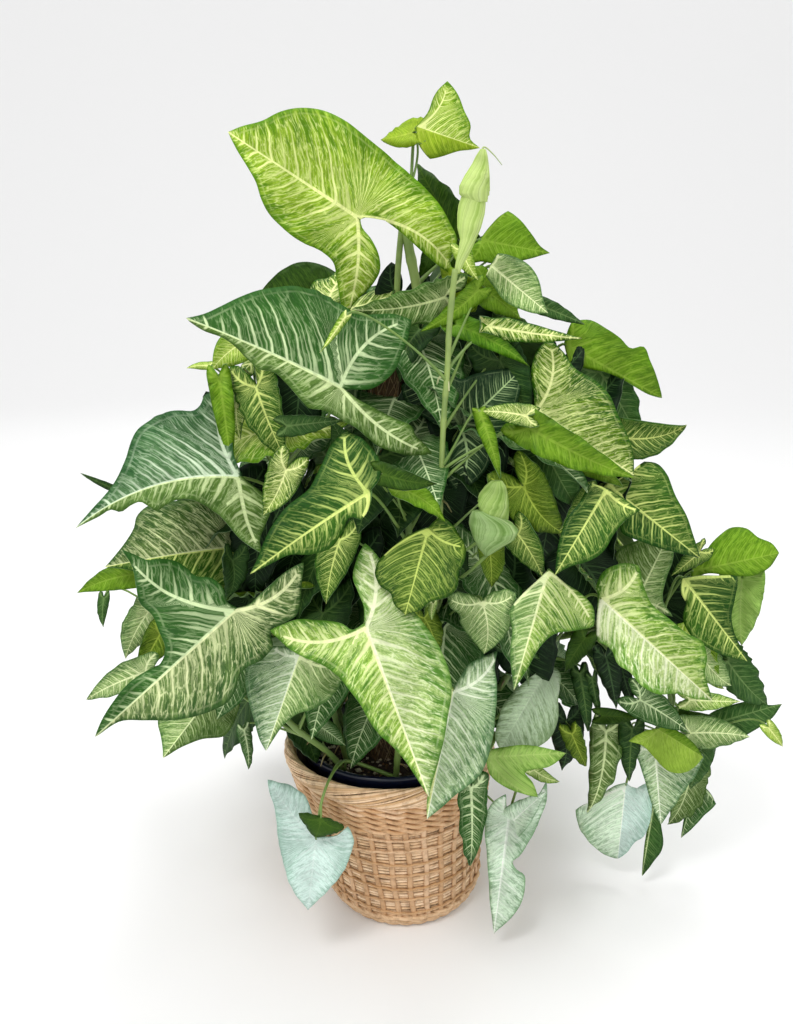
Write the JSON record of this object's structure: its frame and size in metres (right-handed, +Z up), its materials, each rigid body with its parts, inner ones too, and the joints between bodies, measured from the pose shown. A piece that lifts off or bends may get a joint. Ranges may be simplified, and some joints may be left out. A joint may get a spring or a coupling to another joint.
{
  "type": "potted arrowhead plant",
  "caption": "Bushy arrowhead plant with variegated arrow-shaped leaves on a coir pole, in a plastic nursery pot inside a wicker basket.",
  "frame": {"origin": "centre of the basket's flat underside", "axes": "+Z up along the plant, the plant's front faces -Y, its trailing stems hang to +X"},
  "size_m": [0.5835, 0.448, 0.7065],
  "materials": {
    "wicker": "satin",
    "pot_plastic": "gloss",
    "soil": "matte",
    "coir": "matte",
    "stem": "satin",
    "leaf_young": "satin",
    "leaf_lime": "satin",
    "leaf_fresh": "satin",
    "leaf_dark": "satin",
    "leaf_pale": "satin",
    "leaf_mint": "satin",
    "leaf_olive": "satin"
  },
  "bodies": {
    "root": {"basket": "wicker", "leaf_back_high": "leaf_dark", "leaf_back_left": "leaf_dark", "leaf_back_low": "leaf_dark", "leaf_back_low_left": "leaf_dark", "leaf_back_low_right": "leaf_dark", "leaf_back_middle": "leaf_dark", "leaf_back_right": "leaf_dark", "leaf_back_top": "leaf_dark", "leaf_back_upper_left": "leaf_dark", "leaf_back_upper_right": "leaf_dark", "leaf_bright": "leaf_fresh", "leaf_centre_olive": "leaf_olive", "leaf_centre_veined": "leaf_dark", "leaf_cream": "leaf_pale", "leaf_crown": "leaf_lime", "leaf_far_right": "leaf_olive", "leaf_far_right_lime": "leaf_lime", "leaf_front": "leaf_pale", "leaf_front_dark": "leaf_dark", "leaf_front_olive": "leaf_olive", "leaf_hanging": "leaf_mint", "leaf_high_right": "leaf_fresh", "leaf_left": "leaf_dark", "leaf_left_front": "leaf_dark", "leaf_left_inner": "leaf_pale", "leaf_left_lower": "leaf_dark", "leaf_low_right_tip": "leaf_dark", "leaf_over_rim": "leaf_mint", "leaf_plain_mint": "leaf_mint", "leaf_right_dark": "leaf_dark", "leaf_right_edge": "leaf_lime", "leaf_right_hanging": "leaf_pale", "leaf_shaded": "leaf_dark", "leaf_silver": "leaf_dark", "leaf_speckled": "leaf_pale", "leaf_top": "leaf_lime", "leaf_trail_edge": "leaf_fresh", "leaf_trail_mint": "leaf_mint", "leaf_trail_narrow": "leaf_fresh", "leaf_trail_olive": "leaf_olive", "leaf_trail_veined": "leaf_mint", "leaf_under_left": "leaf_fresh", "leaf_upper_left": "leaf_dark", "leaf_upright_right": "leaf_dark", "moss_pole": "coir", "new_leaf": "leaf_young", "nursery_pot": "pot_plastic", "soil": "soil", "stem_back": "stem", "stem_back_left": "stem", "stem_back_right": "stem", "stem_front": "stem", "stem_front_right": "stem", "stem_left": "stem", "stem_left_low": "stem", "stem_main": "stem", "stem_right": "stem", "stem_shoot": "stem", "stem_trail": "stem"}
  },
  "joints": []
}
